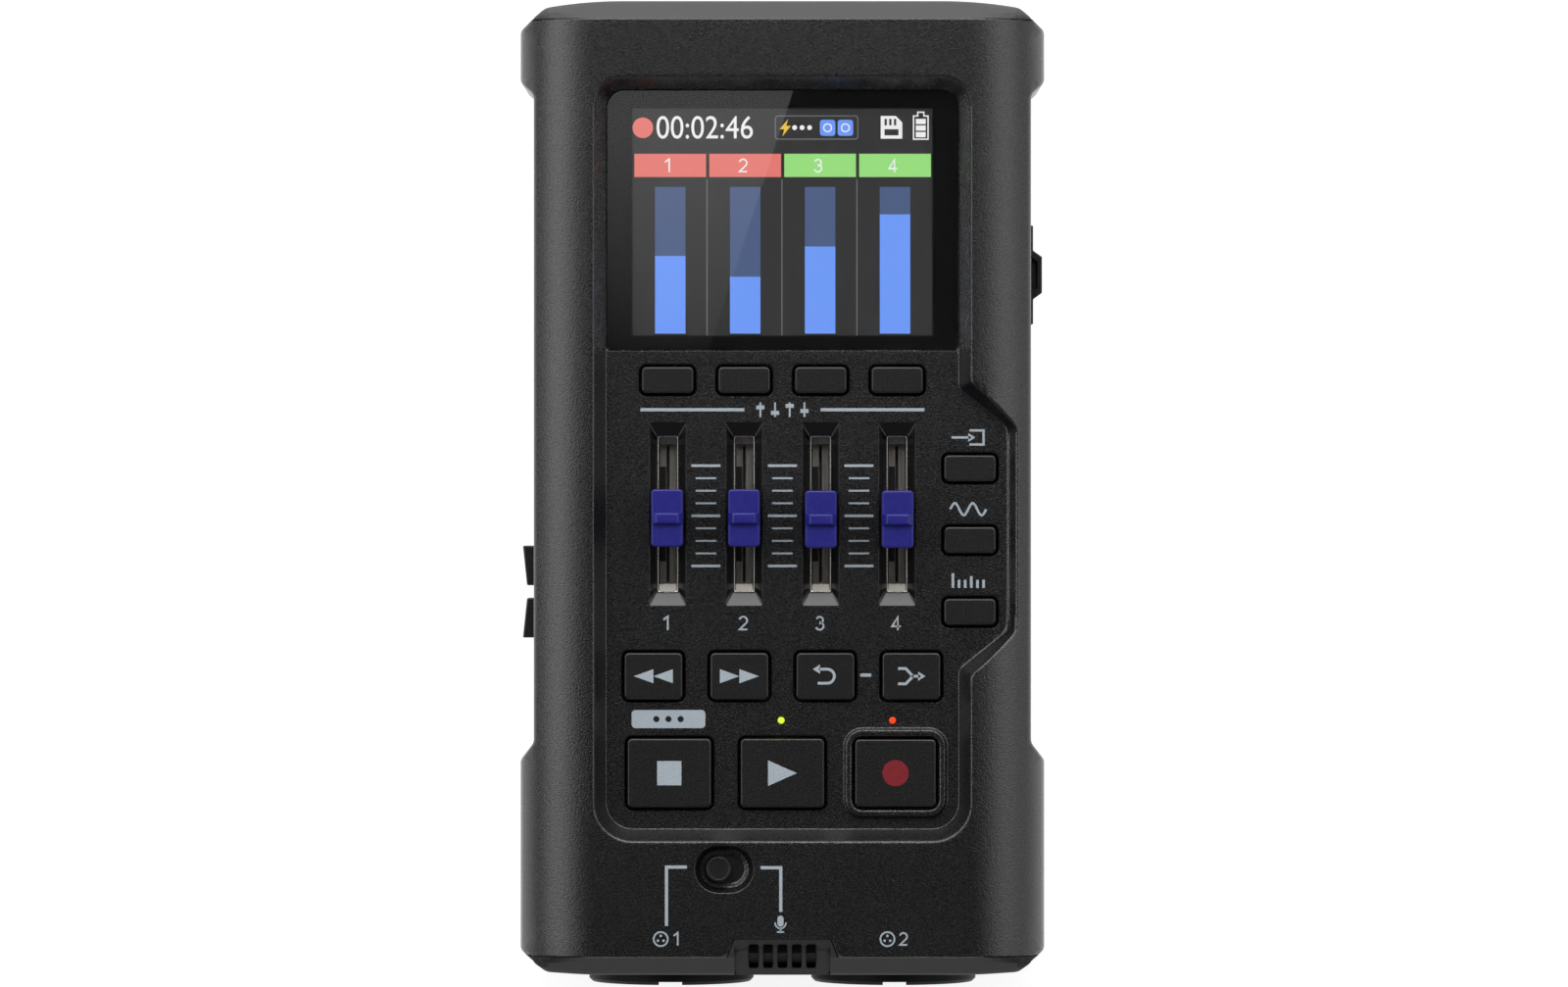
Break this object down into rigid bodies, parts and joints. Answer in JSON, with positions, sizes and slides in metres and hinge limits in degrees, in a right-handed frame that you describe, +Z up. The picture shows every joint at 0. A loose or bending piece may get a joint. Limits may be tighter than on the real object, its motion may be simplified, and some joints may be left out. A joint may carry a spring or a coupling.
{
  "type": "digital multitrack recorder",
  "caption": "Handheld multitrack audio recorder with a sunken control panel, display window, slide faders, transport buttons and combination input sockets on its front end.",
  "frame": {"origin": "middle of the bounding box on the table under the feet", "axes": "+X right of the panel, +Y towards the display end, +Z up out of the panel"},
  "size_m": [0.0824, 0.155, 0.0476],
  "materials": {
    "shell_plastic": "fine spark-eroded texture, dark grey",
    "cap_plastic": "fine texture, dark grey",
    "key_plastic": "soft matte, near black",
    "fader_plastic": "satin, deep blue",
    "window_acrylic": "clear, dark printed border",
    "screen": "smooth",
    "board": "solder mask",
    "steel": "plated",
    "black_plastic": "satin black",
    "rubber": "matte",
    "green_light": "clear, tinted",
    "red_light": "clear, tinted",
    "emitter": "smooth",
    "cell_jacket": "bare printed jacket without lettering"
  },
  "bodies": {
    "case": {"top_case": "shell_plastic", "bottom_case": "shell_plastic", "front_end_cap": "cap_plastic", "rear_end_cap": "cap_plastic", "display_window": "window_acrylic", "lcd_module": "screen", "lcd_bracket": "black_plastic", "main_board": "board", "jack_board": "board", "button_switches": "steel", "fader_housings": "steel", "selector_switch": "steel", "power_switch": "steel", "volume_switches": "steel", "play_light_pipe": "green_light", "record_light_pipe": "red_light", "indicator_leds": "emitter", "jack_a_housing": "black_plastic", "jack_a_core": "black_plastic", "jack_b_housing": "black_plastic", "jack_b_core": "black_plastic", "mic_capsules": "steel", "mic_boot": "rubber", "phones_jack": "black_plastic", "line_out_jack": "black_plastic", "usb_socket": "steel", "card_socket": "steel", "batteries": "cell_jacket", "battery_contacts": "steel", "case_screws": "steel", "board_screws": "steel", "rubber_feet": "rubber"},
    "track_button_1": {"track_button_1": "key_plastic"},
    "track_button_2": {"track_button_2": "key_plastic"},
    "track_button_3": {"track_button_3": "key_plastic"},
    "track_button_4": {"track_button_4": "key_plastic"},
    "input_button": {"input_button": "key_plastic"},
    "effect_button": {"effect_button": "key_plastic"},
    "rhythm_button": {"rhythm_button": "key_plastic"},
    "rewind_button": {"rewind_button": "key_plastic"},
    "forward_button": {"forward_button": "key_plastic"},
    "undo_button": {"undo_button": "key_plastic"},
    "bounce_button": {"bounce_button": "key_plastic"},
    "stop_button": {"stop_button": "key_plastic"},
    "play_button": {"play_button": "key_plastic"},
    "record_button": {"record_button": "key_plastic"},
    "fader_1": {"fader_knob_1": "fader_plastic", "fader_lever_1": "steel"},
    "fader_2": {"fader_knob_2": "fader_plastic", "fader_lever_2": "steel"},
    "fader_3": {"fader_knob_3": "fader_plastic", "fader_lever_3": "steel"},
    "fader_4": {"fader_knob_4": "fader_plastic", "fader_lever_4": "steel"},
    "selector_knob": {"selector_knob": "black_plastic"},
    "power_slider": {"power_slider": "black_plastic"},
    "volume_up_button": {"volume_up_button": "black_plastic"},
    "volume_down_button": {"volume_down_button": "black_plastic"},
    "battery_door": {"battery_door": "shell_plastic"}
  },
  "joints": [
    {"name": "track_button_1_press", "type": "slide", "parent": "case", "child": "track_button_1", "axis": [0, 0, -1], "range_m": [0, 0.0006], "stiffness_N_per_m": 1500, "springref_m": -0.0003},
    {"name": "track_button_2_press", "type": "slide", "parent": "case", "child": "track_button_2", "axis": [0, 0, -1], "range_m": [0, 0.0006], "stiffness_N_per_m": 1500, "springref_m": -0.0003},
    {"name": "track_button_3_press", "type": "slide", "parent": "case", "child": "track_button_3", "axis": [0, 0, -1], "range_m": [0, 0.0006], "stiffness_N_per_m": 1500, "springref_m": -0.0003},
    {"name": "track_button_4_press", "type": "slide", "parent": "case", "child": "track_button_4", "axis": [0, 0, -1], "range_m": [0, 0.0006], "stiffness_N_per_m": 1500, "springref_m": -0.0003},
    {"name": "input_button_press", "type": "slide", "parent": "case", "child": "input_button", "axis": [0, 0, -1], "range_m": [0, 0.0006], "stiffness_N_per_m": 1500, "springref_m": -0.0003},
    {"name": "effect_button_press", "type": "slide", "parent": "case", "child": "effect_button", "axis": [0, 0, -1], "range_m": [0, 0.0006], "stiffness_N_per_m": 1500, "springref_m": -0.0003},
    {"name": "rhythm_button_press", "type": "slide", "parent": "case", "child": "rhythm_button", "axis": [0, 0, -1], "range_m": [0, 0.0006], "stiffness_N_per_m": 1500, "springref_m": -0.0003},
    {"name": "rewind_button_press", "type": "slide", "parent": "case", "child": "rewind_button", "axis": [0, 0, -1], "range_m": [0, 0.0006], "stiffness_N_per_m": 1500, "springref_m": -0.0003},
    {"name": "forward_button_press", "type": "slide", "parent": "case", "child": "forward_button", "axis": [0, 0, -1], "range_m": [0, 0.0006], "stiffness_N_per_m": 1500, "springref_m": -0.0003},
    {"name": "undo_button_press", "type": "slide", "parent": "case", "child": "undo_button", "axis": [0, 0, -1], "range_m": [0, 0.0006], "stiffness_N_per_m": 1500, "springref_m": -0.0003},
    {"name": "bounce_button_press", "type": "slide", "parent": "case", "child": "bounce_button", "axis": [0, 0, -1], "range_m": [0, 0.0006], "stiffness_N_per_m": 1500, "springref_m": -0.0003},
    {"name": "stop_button_press", "type": "slide", "parent": "case", "child": "stop_button", "axis": [0, 0, -1], "range_m": [0, 0.0006], "stiffness_N_per_m": 1500, "springref_m": -0.0003},
    {"name": "play_button_press", "type": "slide", "parent": "case", "child": "play_button", "axis": [0, 0, -1], "range_m": [0, 0.0006], "stiffness_N_per_m": 1500, "springref_m": -0.0003},
    {"name": "record_button_press", "type": "slide", "parent": "case", "child": "record_button", "axis": [0, 0, -1], "range_m": [0, 0.0006], "stiffness_N_per_m": 1500, "springref_m": -0.0003},
    {"name": "fader_1_slide", "type": "slide", "parent": "case", "child": "fader_1", "axis": [0, 1, 0], "range_m": [-0.00745, 0.00825]},
    {"name": "fader_2_slide", "type": "slide", "parent": "case", "child": "fader_2", "axis": [0, 1, 0], "range_m": [-0.00745, 0.00825]},
    {"name": "fader_3_slide", "type": "slide", "parent": "case", "child": "fader_3", "axis": [0, 1, 0], "range_m": [-0.00725, 0.00845]},
    {"name": "fader_4_slide", "type": "slide", "parent": "case", "child": "fader_4", "axis": [0, 1, 0], "range_m": [-0.00725, 0.00845]},
    {"name": "selector_slide", "type": "slide", "parent": "case", "child": "selector_knob", "axis": [1, 0, 0], "range_m": [0, 0.00175]},
    {"name": "power_slide", "type": "slide", "parent": "case", "child": "power_slider", "axis": [0, 1, 0], "range_m": [-0.002, 0.002]},
    {"name": "volume_up_button_press", "type": "slide", "parent": "case", "child": "volume_up_button", "axis": [1, 0, 0], "range_m": [0, 0.0005], "stiffness_N_per_m": 1500, "springref_m": -0.0003},
    {"name": "volume_down_button_press", "type": "slide", "parent": "case", "child": "volume_down_button", "axis": [1, 0, 0], "range_m": [0, 0.0005], "stiffness_N_per_m": 1500, "springref_m": -0.0003},
    {"name": "battery_door_slide", "type": "slide", "parent": "case", "child": "battery_door", "axis": [0, 1, 0], "range_m": [0, 0.064]}
  ]
}
